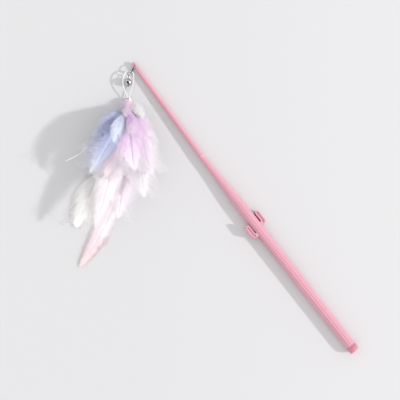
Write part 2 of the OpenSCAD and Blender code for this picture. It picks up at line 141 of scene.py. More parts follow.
Feather = namedtuple(
    "Feather",
    "node layer across bend tip half_width start widest spacing down colours end lean",
    defaults=(1, 0),
)
Tuft = namedtuple("Tuft", "node slot share count aim loose_share lengths colours")


def linear(channel):
    """One channel of a colour as shaders take it, from its value in a colour picker, 0 to 255."""
    share = channel / 255
    return ((share + 0.055) / 1.055) ** 2.4 if share > 0.04045 else share / 12.92


def colour(red, green, blue):
    """A colour as shaders take it, from the values of a colour picker."""
    return linear(red), linear(green), linear(blue), 1


# Each feather's place is given in shares of the feathers' reach. Its colours go from root to tip,
# each with its share of the way there. The quill is bare before the start and after the end. The
# spacing is that of the barbs, in millimetres, and down is the number of downy strands on a side.
FEATHERS = (
    Feather("salmon_feather", 0, 0, (0.47, 0.07), (0.95, -0.23), 0.055, 0.62, 0.9, 0.2, 60,
            ((0, 254, 246, 248), (0.72, 254, 244, 248), (0.8, 251, 230, 238), (0.88, 252, 220, 229),
             (1, 253, 236, 234))),
    Feather("white_left_feather", 0, -0.32, (0.37, -0.13), (0.73, -0.27), 0.085, 0.58, 1.1, 0.22, 420,
            ((0, 253, 253, 254), (1, 254, 253, 251))),
    Feather("lilac_low_feather", 1, 0.32, (0.37, 0.01), (0.66, -0.02), 0.085, 0.3, 0.9, 0.22, 260,
            ((0, 254, 240, 254), (0.7, 255, 242, 254), (1, 255, 249, 254))),
    Feather("pale_right_feather", 2, 0.45, (0.27, 0.08), (0.53, 0.13), 0.085, 0.25, 0.9, 0.22, 320,
            ((0, 254, 242, 253), (0.6, 254, 247, 254), (1, 253, 251, 253))),
    Feather("white_long_feather", 2, 0, (0.37, -0.06), (0.72, -0.14), 0.075, 0.25, 0.8, 0.2, 300,
            ((0, 254, 238, 249), (0.5, 255, 245, 251), (0.85, 255, 247, 251), (1, 254, 240, 244))),
    Feather("lavender_feather", 2, -0.5, (0.28, -0.185), (0.345, -0.335), 0.04, 0.15, 0.8, 0.24, 160,
            ((0, 202, 210, 236), (0.55, 218, 224, 242), (0.72, 250, 250, 253), (1, 252, 252, 254)),
            0.72),
    Feather("rose_feather", 3, 0, (0.22, -0.04), (0.43, -0.1), 0.085, 0.2, 0.9, 0.22, 320,
            ((0, 254, 230, 251), (0.5, 255, 236, 251), (0.9, 255, 238, 248), (1, 255, 243, 249)),
            1, -0.2),
    Feather("right_pink_feather", 3, 0.5, (0.19, 0.08), (0.4, 0.17), 0.085, 0.12, 0.9, 0.22, 420,
            ((0, 254, 232, 253), (0.5, 255, 242, 254), (1, 255, 250, 255))),
    Feather("lilac_plume", 4, 0.2, (0.19, 0.02), (0.39, 0.07), 0.12, 0.08, 0.9, 0.2, 600,
            ((0, 250, 206, 250), (0.22, 254, 220, 254), (0.7, 255, 230, 255), (1, 255, 246, 254)),
            1, -0.2),
    Feather("periwinkle_feather", 5, -0.32, (0.21, -0.06), (0.41, -0.19), 0.075, 0.1, 0.85, 0.2, 420,
            ((0, 178, 180, 214), (0.4, 174, 180, 220), (0.7, 192, 197, 230), (1, 228, 230, 244)),
            1, -0.4),
    Feather("light_blue_feather", 6, -0.29, (0.09, -0.04), (0.23, -0.06), 0.032, 0.4, 0.9, 0.2, 120,
            ((0, 220, 222, 248), (0.6, 216, 222, 252), (1, 228, 234, 253))),
)

# The downy tufts. Each has the share of its solid's size that its body keeps, how many strands
# grow on it, and where they point along, across and above the bunch.
TUFTS = (
    Tuft("down_collar", "magenta_down", 0.85, 1200, (1, 0, 0.05), 0.45, (3 * MM, 10 * MM),
         ((0, 255, 244, 251), (0.5, 255, 234, 250), (1, 254, 230, 250))),
    Tuft("magenta_tuft", "magenta_tuft", 0.5, 1500, (0.8, 0.2, -0.2), 0.9, (3 * MM, 9 * MM),
         ((0, 255, 246, 253), (0.35, 255, 236, 252), (0.7, 255, 230, 251), (1, 254, 234, 254))),
    Tuft("mauve_tuft", "mauve_tuft", 0.75, 1400, (0.6, 0.1, 0.05), 0.65, (4 * MM, 13 * MM),
         ((0, 244, 196, 242), (0.4, 226, 200, 243), (0.65, 247, 208, 249), (1, 253, 234, 253))),
    Tuft("white_tuft", "white_tuft", 1, 1500, (0.4, 1.0, -0.9), 1.0, (3 * MM, 8 * MM),
         ((0, 254, 252, 254), (1, 255, 255, 255))),
)


def layer_height(layer, distance):
    """Height of a layer over the root, at a distance from it."""
    q = distance / FEATHER_REACH
    slope, loss, lift = LAYER_SHARES[layer]
    stack = (layer - (LAYER_COUNT - 1) / 2) * LAYER_PITCH * QUILL_FADE_SHARE / (q + QUILL_FADE_SHARE)
    rise = slope * q * (1 - loss * q) + lift * q / (q + NEAR_ROOT_SHARE)
    return stack + FEATHER_REACH * rise


def from_root(along, across, up):
    """A point given along, across and above the root of the bunch."""
    return ROOT + along * TOY_FORWARD + across * TOY_SIDE + Vector((0, 0, up))


def in_loop(along, across):
    """A point in the tilted plane of the cord's loop."""
    return LOOP_TOP + along * TOY_FORWARD + across * LOOP_RIGHT


class WandPlastic(bpy.types.PropertyGroup):
    """Colours and finish of the moulded plastic."""

    body: bpy.props.FloatVectorProperty(
        name="Body", description="Colour of the handle, hooks and rod", subtype="COLOR",
        size=4, min=0, max=1, default=colour(226, 166, 182))
    cap: bpy.props.FloatVectorProperty(
        name="End cap", description="Colour of the end cap", subtype="COLOR",
        size=4, min=0, max=1, default=colour(224, 148, 167))
    roughness: bpy.props.FloatProperty(
        name="Roughness", description="How matt the plastic is", min=0, max=1, default=0.42)
    edge: bpy.props.FloatProperty(
        name="Edge", description="Width of the plastic's rounded edges", unit="LENGTH",
        min=0, max=0.001, default=0.45 * MM)


class BellMetal(bpy.types.PropertyGroup):
    """Finish of the link, the bell and the ferrule."""

    plated: bpy.props.FloatVectorProperty(
        name="Plating", description="Colour of the plated steel", subtype="COLOR",
        size=4, min=0, max=1, default=colour(214, 214, 216))
    roughness: bpy.props.FloatProperty(
        name="Roughness", description="Mean roughness of the plating", min=0, max=1, default=0.2)
    edge: bpy.props.FloatProperty(
        name="Edge", description="Width of the sheet metal's rounded edges", unit="LENGTH",
        min=0, max=0.001, default=0.08 * MM)


class CordYarn(bpy.types.PropertyGroup):
    """Size and colour of the twisted cord."""

    diameter: bpy.props.FloatProperty(
        name="Diameter", description="Thickness of the cord", unit="LENGTH", min=0.0005, max=0.003,
        default=1.3 * MM)
    length: bpy.props.FloatProperty(
        name="Length", description="Length of the cord from end to end", unit="LENGTH",
        min=0.05, max=0.2, default=81 * MM)
    lay: bpy.props.FloatProperty(
        name="Lay", description="Length of one turn of the strands", unit="LENGTH",
        min=0.001, max=0.02, default=4.5 * MM)
    colour: bpy.props.FloatVectorProperty(
        name="Yarn", description="Colour of the yarn", subtype="COLOR",
        size=4, min=0, max=1, default=colour(253, 252, 249))


class FeatherBunch(bpy.types.PropertyGroup):
    """How dense and how loose the feathers are."""

    barb_radius: bpy.props.FloatProperty(
        name="Barb radius", description="Thickness of a barb near its quill", unit="LENGTH",
        min=0.00002, max=0.0005, default=0.17 * MM)
    down_radius: bpy.props.FloatProperty(
        name="Down radius", description="Thickness of a downy strand", unit="LENGTH",
        min=0.00002, max=0.0005, default=0.075 * MM)
    web: bpy.props.FloatProperty(
        name="Web", description="Thickness of the web between the barbs", unit="LENGTH",
        min=0.00001, max=0.0005, default=0.05 * MM)
    quill_radius: bpy.props.FloatProperty(
        name="Quill radius", description="Thickness of a quill at the ferrule", unit="LENGTH",
        min=0.0001, max=0.001, default=0.3 * MM)
    looseness: bpy.props.FloatProperty(
        name="Looseness", description="How far barbs part into clumps", min=0, max=1, default=0.25)
    seed: bpy.props.IntProperty(
        name="Seed", description="Seed of the feathers' natural variation", min=0, default=7)


class StudioStage(bpy.types.PropertyGroup):
    """The floor, the lamp and the camera."""

    floor: bpy.props.FloatVectorProperty(
        name="Floor", description="Colour of the floor", subtype="COLOR",
        size=4, min=0, max=1, default=colour(226, 225, 227))
    sun: bpy.props.FloatProperty(
        name="Sun", description="Strength of the low lamp", min=0, default=1.9)
    ambient: bpy.props.FloatProperty(
        name="Ambient", description="Strength of the light from all round", min=0, default=0.87)
    height: bpy.props.FloatProperty(
        name="Camera height", description="Height of the camera over the handle", unit="LENGTH",
        min=0.5, max=5, default=1.6)


def link_object(name, mesh):
    """A new object for a finished mesh."""
    piece = bpy.data.objects.new(name, mesh)
    bpy.context.scene.collection.objects.link(piece)
    return piece


def place(piece, body, slot, *nodes):
    """Puts a piece on its body and hides the nodes that it stands for."""
    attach(piece, body)
    if nodes:
        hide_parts(*nodes)


def new_material(name):
    """A new material, with its node tree and its shader."""
    material = bpy.data.materials.new(name)
    material.use_nodes = True
    shader = material.node_tree.nodes["Principled BSDF"]
    return material, material.node_tree, shader


def add_node(tree, kind, **values):
    """A new node with its settings and plain input values."""
    node = tree.nodes.new(kind)
    for key, value in values.items():
        if hasattr(node, key):
            setattr(node, key, value)
        else:
            node.inputs[key.replace("_", " ")].default_value = value
    return node


def object_point(tree):
    """The socket that gives a point of the piece in metres."""
    return add_node(tree, "ShaderNodeTexCoord").outputs["Object"]


def noise(tree, scale, detail, stretch=(1, 1, 1)):
    """A noise pattern on the piece, stretched along an axis if asked."""
    mapping = add_node(tree, "ShaderNodeMapping")
    mapping.inputs["Scale"].default_value = stretch
    tree.links.new(object_point(tree), mapping.inputs["Vector"])
    texture = add_node(tree, "ShaderNodeTexNoise", Scale=scale, Detail=detail)
    tree.links.new(mapping.outputs["Vector"], texture.inputs["Vector"])
    return texture.outputs["Fac"]


def spread(tree, source, low, high, start=0.3, end=0.7):
    """Maps a pattern's values from start to end onto values from low to high."""
    mapped = add_node(tree, "ShaderNodeMapRange")
    for key, value in (("From Min", start), ("From Max", end), ("To Min", low), ("To Max", high)):
        mapped.inputs[key].default_value = value
    tree.links.new(source, mapped.inputs["Value"])
    return mapped.outputs["Result"]


def tint(tree, factor, first, second):
    """Mixes two colours by a pattern."""
    mixed = add_node(tree, "ShaderNodeMix", data_type="RGBA")
    tree.links.new(factor, mixed.inputs["Factor"])
    for key, value in (("A", first), ("B", second)):
        socket = next(s for s in mixed.inputs if s.name == key and s.type == "RGBA")
        if isinstance(value, bpy.types.NodeSocket):
            tree.links.new(value, socket)
        else:
            socket.default_value = value
    return next(s for s in mixed.outputs if s.type == "RGBA")


def banded(tree, factor, bands):
    """Colours that follow a value. Each band has its position and its colour."""
    ramp = add_node(tree, "ShaderNodeValToRGB")
    marks = ramp.color_ramp.elements
    while len(marks) < len(bands):
        marks.new(0.5)
    for mark, (position, value) in zip(marks, bands):
        mark.position = position
        mark.color = value
    tree.links.new(factor, ramp.inputs["Fac"])
    return ramp.outputs["Color"]


def add_bump(tree, shader, height, distance, strength):
    """Raises a pattern on the surface by a distance in metres."""
    bump = add_node(tree, "ShaderNodeBump")
    bump.inputs["Strength"].default_value = strength
    bump.inputs["Distance"].default_value = distance
    tree.links.new(height, bump.inputs["Height"])
    tree.links.new(bump.outputs["Normal"], shader.inputs["Normal"])


def darker(value, share):
    """A colour at a share of its brightness."""
    return tuple(c * share for c in value[:3]) + (1,)


def moulded_plastic(name, base):
    """Satin plastic: faint flow marks, a fine moulded grain and slightly duller patches."""
    look = bpy.context.scene.wand_plastic
    material, tree, shader = new_material(name)
    flow = spread(tree, noise(tree, 90, 4, (0.2, 1, 1)), 0, 1)
    tree.links.new(tint(tree, flow, darker(base, 0.95), base), shader.inputs["Base Color"])
    dull = spread(tree, noise(tree, 400, 5), look.roughness - 0.06, look.roughness + 0.08)
    tree.links.new(dull, shader.inputs["Roughness"])
    shader.inputs["Subsurface Weight"].default_value = 0.08
    shader.inputs["Subsurface Radius"].default_value = (1.0, 0.45, 0.5)
    shader.inputs["Subsurface Scale"].default_value = 1.2 * MM
    add_bump(tree, shader, noise(tree, 2600, 3), 0.02 * MM, 0.35)
    return material


def plated_steel(name, base, roughness):
    """Bright plating with fine scratches and duller smudges."""
    material, tree, shader = new_material(name)
    smudge = spread(tree, noise(tree, 500, 4), 0, 1)
    tree.links.new(tint(tree, smudge, darker(base, 0.86), base), shader.inputs["Base Color"])
    shader.inputs["Metallic"].default_value = 1
    dull = spread(tree, noise(tree, 900, 6), roughness - 0.08, roughness + 0.12)
    tree.links.new(dull, shader.inputs["Roughness"])
    add_bump(tree, shader, noise(tree, 3500, 2, (1, 6, 1)), 0.01 * MM, 0.3)
    return material


def finished_copy(node, name, edge, material, body, slot):
    """A merged, smooth copy of a rigid node, which stands for it. edge is the width of its rounded
    edges, or 0 where the node's own edges are kept."""
    mesh = frame["nodes"][node].data.copy()
    mesh.name = name
    shape = bmesh.new()
    shape.from_mesh(mesh)
    bmesh.ops.remove_doubles(shape, verts=shape.verts, dist=MERGE_DISTANCE)
    bmesh.ops.dissolve_degenerate(shape, edges=shape.edges, dist=MERGE_DISTANCE)
    shape.to_mesh(mesh)
    shape.free()
    mesh.materials.clear()
    mesh.materials.append(material)
    mesh.polygons.foreach_set("use_smooth", [True] * len(mesh.polygons))
    mesh.set_sharp_from_angle(angle=math.radians(35))
    piece = link_object(name, mesh)
    if edge:
        bevel = piece.modifiers.new("rounded_edges", "BEVEL")
        bevel.width = edge
        bevel.segments = 3
        bevel.limit_method = "ANGLE"
        bevel.angle_limit = math.radians(40)
    place(piece, body, slot, node)


def section(name, corners):
    """A flat closed outline that a curve is swept with."""
    outline = bpy.data.curves.new(name, "CURVE")
    outline.dimensions = "2D"
    spline = outline.splines.new("POLY")
    spline.points.add(len(corners) - 1)
    for point, (x, y) in zip(spline.points, corners):
        point.co = (x, y, 0, 1)
    spline.use_cyclic_u = True
    return link_object(name, outline)


def swept_curve(name, outline):
    """A new curve in space that is swept with an outline."""
    curve = bpy.data.curves.new(name, "CURVE")
    curve.dimensions = "3D"
    curve.bevel_mode = "OBJECT"
    curve.bevel_object = outline
    return curve


def swept_mesh(curve, outline):
    """The mesh of a swept curve. The curve and its outline are used up."""
    holder = link_object(curve.name, curve)
    graph = bpy.context.evaluated_depsgraph_get()
    mesh = bpy.data.meshes.new_from_object(holder.evaluated_get(graph))
    for leftover in (holder, outline):
        line = leftover.data
        bpy.data.objects.remove(leftover)
        bpy.data.curves.remove(line)
    return mesh


def strand_mesh(name, strands, sides, thickness=1.0):
    """One mesh of many tapered strands. A strand is a list of points and a list of radii.
    thickness is a strand's height as a share of its width. Each point keeps a random shade for
    its strand, and its place along it."""
    angles = [2 * math.pi * i / sides for i in range(sides)]
    outline = section(name + "_outline", [(math.cos(a), thickness * math.sin(a)) for a in angles])
    curve = swept_curve(name, outline)
    curve.twist_mode = "Z_UP" if thickness < 1 else "MINIMUM"
    for points, radii in strands:
        spline = curve.splines.new("POLY")
        spline.points.add(len(points) - 1)
        spline.points.foreach_set("co", [value for point in points for value in (*point, 1)])
        spline.points.foreach_set("radius", radii)
    mesh = swept_mesh(curve, outline)
    shades = []
    places = []
    draw = random.Random(len(strands))
    for points, _ in strands:
        shade = draw.random()
        for i in range(len(points)):
            shades += [shade] * sides
            places += [i / (len(points) - 1)] * sides
    for key, values in (("shade", shades), ("place", places)):
        mesh.attributes.new(key, "FLOAT", "POINT").data.foreach_set("value", values)
    return mesh


def join_strands(name, meshes):
    """One mesh of several meshes of strands, with the strands' ends closed."""
    shape = bmesh.new()
    for mesh in meshes:
        shape.from_mesh(mesh)
    ends = [edge for edge in shape.edges if edge.is_boundary]
    bmesh.ops.holes_fill(shape, edges=ends, sides=0)
    bmesh.ops.recalc_face_normals(shape, faces=shape.faces)
    joined = bpy.data.meshes.new(name)
    shape.to_mesh(joined)
    shape.free()
    return joined


class Rachis:
    """The middle line of a feather, laid on its layer."""

    def __init__(self, feather):
        self.feather = feather
        self.start = Vector((0, feather.across * FERRULE_BORE))
        self.middle = FEATHER_REACH * Vector(feather.bend)
        self.tip = FEATHER_REACH * Vector(feather.tip)
        # Scale of the feather's length, by which barbs and down are spaced and reach forward
        sides = (self.middle - self.start).length + (self.tip - self.middle).length
        self.length = (sides / 2 + (self.tip - self.start).length) / 2

    def flat(self, t):
        """The place in plan at a share of the way from the ferrule to the tip."""
        return (1 - t) ** 2 * self.start + 2 * t * (1 - t) * self.middle + t * t * self.tip

    def side(self, t):
        """The direction across the feather in plan."""
        along = 2 * (1 - t) * (self.middle - self.start) + 2 * t * (self.tip - self.middle)
        along.normalize()
        return Vector((-along.y, along.x))

    def point(self, t, off=0.0, up=0.0):
        """A point on the layer, off to the side of the middle line and raised by up."""
        spot = self.flat(t) + off * self.side(t)
        distance = spot.length if spot.x > 0 else 0
        camber = RIGHT_CAMBER if off > 0 else LEFT_CAMBER
        droop = camber * off * off / (FEATHER_REACH * self.feather.half_width)
        point = from_root(spot.x, spot.y, layer_height(self.feather.layer, distance) + up - droop)
        point.z = max(point.z, TABLE_HEIGHT + FLOOR_GAP + up)
        return point

    def width(self, t):
        """Half the vane's width at a share of the way."""
        u = (t - self.feather.start) / (self.feather.end - self.feather.start)
        if not 0 < u < 1:
            return 0.0
        swell = math.sin(math.pi * u ** self.feather.widest) ** 0.7
        return FEATHER_REACH * self.feather.half_width * swell


def quill_strand(rachis, radius):
    """The quill, from inside the ferrule to the feather's tip. It lies a little under the barbs,
    unless its end is bare, when it is as thick there as at its root."""
    steps = 26
    points = [rachis.point(0) - QUILL_DEPTH * TOY_FORWARD]
    radii = [radius]
    taper = QUILL_TAPER if rachis.feather.end == 1 else 0
    for k in range(steps + 1):
        t = k / steps
        points.append(rachis.point(t * LAST_BARB, 0, -QUILL_SINK * taper))
        radii.append(radius * (1 - taper * t))
    return points, radii


class Vane:
    """The two sides of a feather, whose barbs bend forward and gather in loose clumps. Each clump
    has its habits: how it pulls along the quill, how long its barbs are and how high they lie."""

    def __init__(self, rachis, look, draw):
        feather = rachis.feather
        self.rachis = rachis
        self.looseness = look.looseness
        self.length = rachis.length * (feather.end - feather.start)
        self.clumps = max(5, int(self.length / CLUMP_LENGTH))
        self.habits = {
            side: [
                (draw.uniform(-0.4, 0.4), draw.uniform(0.86, 1.06), draw.uniform(-0.1, 0.2) * MM)
                for _ in range(self.clumps + 1)]
            for side in (-1, 1)}

    def point(self, side, share, v, longer=1.0, wave=0.0, lift=0.0):
        """A point on a barb: share says where along the vane the barb ends, and v how far along
        the barb the point is."""
        feather = self.rachis.feather
        start = feather.start
        vane = feather.end - start
        clump = min(int(share * self.clumps), self.clumps)
        pull, shrink, raised = self.habits[side][clump]
        far = start + vane * share
        centre = start + vane * (clump + 0.5 + pull) / self.clumps
        full = self.rachis.width(start + vane * min(share, LAST_BARB)) * (1 + side * feather.lean)
        reach = max(full * shrink * longer, LEAST_BARB)
        root = max(start * 0.8, far - BARB_SWEEP * reach / self.rachis.length)
        gather = self.looseness * v * v
        bend = v ** 1.3
        t = root + ((1 - gather) * (far - root) + gather * (centre - root)) * bend
        off = side * (reach * (1 - (1 - v) ** 1.5) + wave * v * v)
        return self.rachis.point(min(t, 1.0), off, (raised + lift) * v)


def vane_strands(vane, look, draw):
    """The barbs of both sides."""
    count = int(vane.length / (vane.rachis.feather.spacing * MM))
    steps = [k / 5 for k in range(6)]
    radii = [look.barb_radius * (1 - 0.72 * v ** 1.5) for v in steps]
    strands = []
    for side in (-1, 1):
        for i in range(count):
            share = (i + draw.random()) / count
            longer = draw.triangular(0.75, 1.25, 1.0)
            wave = draw.uniform(-1.3, 1.3) * MM
            lift = draw.uniform(0.02, 0.15) * MM
            strands.append(([vane.point(side, share, v, longer, wave, lift) for v in steps], radii))
    return strands


def vane_web(name, vane, look, draw):
    """The thin web that hooks the barbs together, with notches between the clumps and a ragged
    edge."""
    shape = bmesh.new()
    rows = 12 * vane.clumps
    columns = 12
    bmesh.ops.create_grid(shape, x_segments=rows, y_segments=columns, size=0.5)
    fringe = {side: [draw.uniform(0.62, 1.15) for _ in range(rows + 1)] for side in (-1, 1)}
    shade = shape.verts.layers.float.new("shade")
    place_along = shape.verts.layers.float.new("place")
    for vert in shape.verts:
        share = vert.co.x + 0.5
        v = 2 * abs(vert.co.y)
        side = 1 if vert.co.y > 0 else -1
        notch = abs(2 * (share * vane.clumps % 1) - 1) ** 3
        ragged = fringe[side][round(share * rows)] - 1
        v *= WEB_SHARE * (1 - 0.15 * notch * v) * (1 + ragged * v * v)
        vert[shade] = 0.5
        vert[place_along] = v
        vert.co = vane.point(side, share, v)
    for face in shape.faces:
        face.smooth = True
    bmesh.ops.solidify(shape, geom=shape.faces[:], thickness=look.web)
    mesh = bpy.data.meshes.new(name)
    shape.to_mesh(mesh)
    shape.free()
    return mesh


def down_strands(rachis, look, draw):
    """The soft down of the vane, most of it at the base: longer, thinner and curlier strands."""
    feather = rachis.feather
    first = 0.75 * feather.start
    steps = 7
    strands = []
    for _ in range(feather.down * 2):
        side = draw.choice((-1, 1))
        root = first + (feather.end - first) * 0.85 * draw.random() ** 1.5
        reach = draw.uniform(0.5, 1.2) * FEATHER_REACH * feather.half_width
        forward = draw.uniform(0.2, 1.6) * reach / rachis.length
        phase = draw.uniform(0, 6.3)
        curl = draw.uniform(0.3, 0.9) * MM
        lift = draw.uniform(-0.6, 0.6) * MM
        points = []
        radii = []
        for k in range(steps + 1):
            v = k / steps
            t = min(root + forward * v + curl * math.sin(phase + 7 * v) * v / rachis.length, 1)
            away = reach * v ** 0.9 + curl * math.cos(phase + 5 * v) * v
            up = lift * v + 0.4 * curl * math.sin(2 * phase + 6 * v) * v
            points.append(rachis.point(t, side * (1 + side * feather.lean) * away, up))
            radii.append(look.down_radius * (1.2 - 0.9 * v))
        strands.append((points, radii))
    return strands


def dyed_feather(name, colours, reach):
    """Soft matt barbs, dyed in bands from the root to reach. Each strand has a shade of its own
    and is paler towards its end."""
    material, tree, shader = new_material(name)
    distance = add_node(tree, "ShaderNodeVectorMath", operation="DISTANCE")
    distance.inputs[1].default_value = ROOT
    tree.links.new(object_point(tree), distance.inputs[0])
    wander = spread(tree, noise(tree, 120, 3), -0.06, 0.06)
    along = spread(tree, distance.outputs["Value"], 0, 1, 0.05 * reach, reach)
    total = add_node(tree, "ShaderNodeMath", operation="ADD")
    tree.links.new(along, total.inputs[0])
    tree.links.new(wander, total.inputs[1])
    bands = [(position, colour(*values)) for position, *values in colours]
    dye = banded(tree, total.outputs["Value"], bands)
    shade = add_node(tree, "ShaderNodeAttribute", attribute_name="shade").outputs["Fac"]
    fleck = spread(tree, shade, 0, 0.16, 0.0, 1.0)
    flecked = tint(tree, fleck, dye, WHITE)
    place_along = add_node(tree, "ShaderNodeAttribute", attribute_name="place").outputs["Fac"]
    pale = spread(tree, place_along, 0, 0.22, 0.3, 1.0)
    tree.links.new(tint(tree, pale, flecked, WHITE), shader.inputs["Base Color"])
    shader.inputs["Roughness"].default_value = 0.8
    shader.inputs["Specular IOR Level"].default_value = 0.25
    shader.inputs["Sheen Weight"].default_value = 0.3
    shader.inputs["Sheen Roughness"].default_value = 0.5
    return material


def feather_piece(feather, look):
    """A whole feather: its quill, its web, its barbs and the down at their base."""
    draw = random.Random(f"{look.seed} {feather.node}")
    rachis = Rachis(feather)
    quill = strand_mesh(feather.node + "_quill", [quill_strand(rachis, look.quill_radius)], 10)
    vane = Vane(rachis, look, draw)
    web = vane_web(feather.node + "_web", vane, look, draw)
    barbs = strand_mesh(feather.node + "_vane", vane_strands(vane, look, draw), 4, 0.3)
    soft = strand_mesh(feather.node + "_soft", down_strands(rachis, look, draw), 4, 0.5)
    mesh = join_strands(feather.node + "_barbs", [quill, web, barbs, soft])
    mesh.materials.append(dyed_feather(feather.node + "_dye", feather.colours, rachis.tip.length))
    piece = link_object(feather.node + "_barbs", mesh)
    place(piece, "toy", feather.node, feather.node)


def tuft_core(node, share):
    """A rough body in the place of a tuft's solid, at a share of its size, on which the strands
    grow."""
    shape = bmesh.new()
    shape.from_mesh(frame["nodes"][node].data)
    bmesh.ops.remove_doubles(shape, verts=shape.verts, dist=MERGE_DISTANCE)
    bmesh.ops.subdivide_edges(shape, edges=shape.edges[:], cuts=1, use_grid_fill=True)
    for _ in range(3):
        bmesh.ops.smooth_vert(
            shape, verts=shape.verts, factor=0.5, use_axis_x=True, use_axis_y=True, use_axis_z=True)
    bmesh.ops.recalc_face_normals(shape, faces=shape.faces)
    middle = sum((vert.co for vert in shape.verts), Vector()) / len(shape.verts)
    shade = shape.verts.layers.float.new("shade")
    shape.verts.layers.float.new("place")
    draw = random.Random(node)
    for vert in shape.verts:
        vert[shade] = draw.random()
        vert.co = middle.lerp(vert.co, share) + draw.uniform(-0.15, 0.15) * MM * vert.normal
    for face in shape.faces:
        face.smooth = True
    mesh = bpy.data.meshes.new(node + "_core")
    shape.to_mesh(mesh)
    shape.free()
    return mesh


def tuft_strands(tuft, core, draw, radius):
    """Downy strands that start on a tuft's body, lie along it and curl up at their ends."""
    along, across, up = tuft.aim
    aim = (along * TOY_FORWARD + across * TOY_SIDE + Vector((0, 0, up))).normalized()
    areas = [face.area for face in core.polygons]
    steps = 5
    strands = []
    for face in draw.choices(core.polygons, weights=areas, k=tuft.count):
        out = face.normal
        loose = Vector([draw.uniform(-1, 1) for _ in range(3)])
        heading = (aim + 0.3 * out + tuft.loose_share * loose).normalized()
        reach = draw.uniform(*tuft.lengths)
        corners = [core.vertices[i].co for i in face.vertices]
        shares = [draw.random() for _ in corners]
        begin = sum((s * c for s, c in zip(shares, corners)), Vector()) / sum(shares) - 0.1 * MM * out
        phase = draw.uniform(0, 6.3)
        curl = draw.uniform(0.08, 0.25) * reach
        side = heading.cross(out).normalized()
        points = []
        radii = []
        for k in range(steps + 1):
            v = k / steps
            wave = curl * v * math.sin(phase + 5 * v) * side
            point = begin + reach * v * heading + wave + 0.06 * reach * v * v * out
            point.z = max(point.z, TABLE_HEIGHT + FLOOR_GAP)
            points.append(point)
            radii.append(radius * (1.2 - 0.95 * v))
        strands.append((points, radii))
    return strands


def tuft_piece(tuft, look):
    """A whole tuft: its body and the strands on it."""
    draw = random.Random(f"{look.seed} {tuft.node}")
    core = tuft_core(tuft.node, tuft.share)
    strands = tuft_strands(tuft, core, draw, look.down_radius * 2)
    reach = max((v.co - ROOT).length for v in core.vertices)
    fluff = strand_mesh(tuft.node + "_strands", strands, 4, 0.4)
    mesh = join_strands(tuft.node + "_fluff", [core, fluff])
    mesh.materials.append(dyed_feather(tuft.node + "_dye", tuft.colours, reach))
    piece = link_object(tuft.node + "_fluff", mesh)
    place(piece, "toy", tuft.slot, tuft.node)


def cured_glue():
    """Hard, pale, slightly cloudy glue."""
    material, tree, shader = new_material("cured_glue")
    cloud = spread(tree, noise(tree, 1500, 3), 0, 1)
    cloudy = tint(tree, cloud, colour(232, 224, 196), colour(246, 240, 220))
    tree.links.new(cloudy, shader.inputs["Base Color"])
    shader.inputs["Roughness"].default_value = 0.35
    return material


def smooth_route(corners, parts):
    """Points on the smooth curve through the corners, with parts steps from each to the next."""
    points = []
    last = len(corners) - 1
    for i in range(last):
        a, b, c, d = (corners[max(0, min(last, i + k))] for k in (-1, 0, 1, 2))
        for k in range(parts):
            t = k / parts
            points.append(0.5 * (
                2 * b + (c - a) * t + (2 * a - 5 * b + 4 * c - d) * t * t
                + (3 * b - a - 3 * c + d) * t ** 3))
    points.append(corners[last])
    return points


def twisted_cord(name, points, yarn):
    """A cord of three strands laid round each other, swept along the points."""
    sides = 24
    corners = []
    for i in range(sides):
        angle = 2 * math.pi * i / sides
        reach = yarn.diameter / 2 * (CORD_WAIST + CORD_STRAND * abs(math.cos(1.5 * angle)))
        corners.append((reach * math.cos(angle), reach * math.sin(angle)))
    outline = section(name + "_outline", corners)
    curve = swept_curve(name + "_line", outline)
    curve.use_fill_caps = True
    spline = curve.splines.new("POLY")
    spline.points.add(len(points) - 1)
    run = 0.0
    for i, point in enumerate(spline.points):
        if i:
            run += (points[i] - points[i - 1]).length
        point.co = (*points[i], 1)
        point.tilt = 2 * math.pi * run / yarn.lay
    mesh = swept_mesh(curve, outline)
    mesh.name = name
    shape = bmesh.new()
    shape.from_mesh(mesh)
    bmesh.ops.recalc_face_normals(shape, faces=shape.faces)
    shape.to_mesh(mesh)
    shape.free()
    mesh.polygons.foreach_set("use_smooth", [True] * len(mesh.polygons))
    return mesh


def cord_yarn_material(yarn):
    """Soft white yarn with fine fibres."""
    material, tree, shader = new_material("cord_yarn")
    fibres = noise(tree, 5200, 4)
    dyed = tint(tree, spread(tree, fibres, 0, 1), darker(yarn.colour, 0.92), yarn.colour)
    tree.links.new(dyed, shader.inputs["Base Color"])
    shader.inputs["Roughness"].default_value = 0.9
    shader.inputs["Sheen Weight"].default_value = 0.4
    add_bump(tree, shader, fibres, 0.06 * MM, 0.8)
    return material


def pale_floor(look):
    """A wide matt floor under the wand, with painted shade that darkens its colour away from the lamp.
    """
    shape = bmesh.new()
    bmesh.ops.create_grid(shape, x_segments=1, y_segments=1, size=FLOOR_HALF_SIDE)
    bmesh.ops.translate(shape, verts=shape.verts, vec=(0, 0, TABLE_HEIGHT))
    mesh = bpy.data.meshes.new("floor")
    shape.to_mesh(mesh)
    shape.free()
    material, tree, shader = new_material("pale_floor")
    # Painted shade: the floor's colour is mixed down to 94% of its brightness away from the lamp
    turned = add_node(tree, "ShaderNodeMapping")
    turned.inputs["Rotation"].default_value = (0, 0, FLOOR_TURN)
    tree.links.new(object_point(tree), turned.inputs["Vector"])
    parts = add_node(tree, "ShaderNodeSeparateXYZ")
    tree.links.new(turned.outputs["Vector"], parts.inputs["Vector"])
    far = spread(tree, parts.outputs["X"], 0, 1, *FLOOR_PAINTED_SHADE_SPAN)
    painted_falloff = tint(tree, far, tuple(look.floor), darker(look.floor, 0.94))
    tree.links.new(painted_falloff, shader.inputs["Base Color"])
    shader.inputs["Roughness"].default_value = 0.7
    mesh.materials.append(material)
    return link_object("floor", mesh)


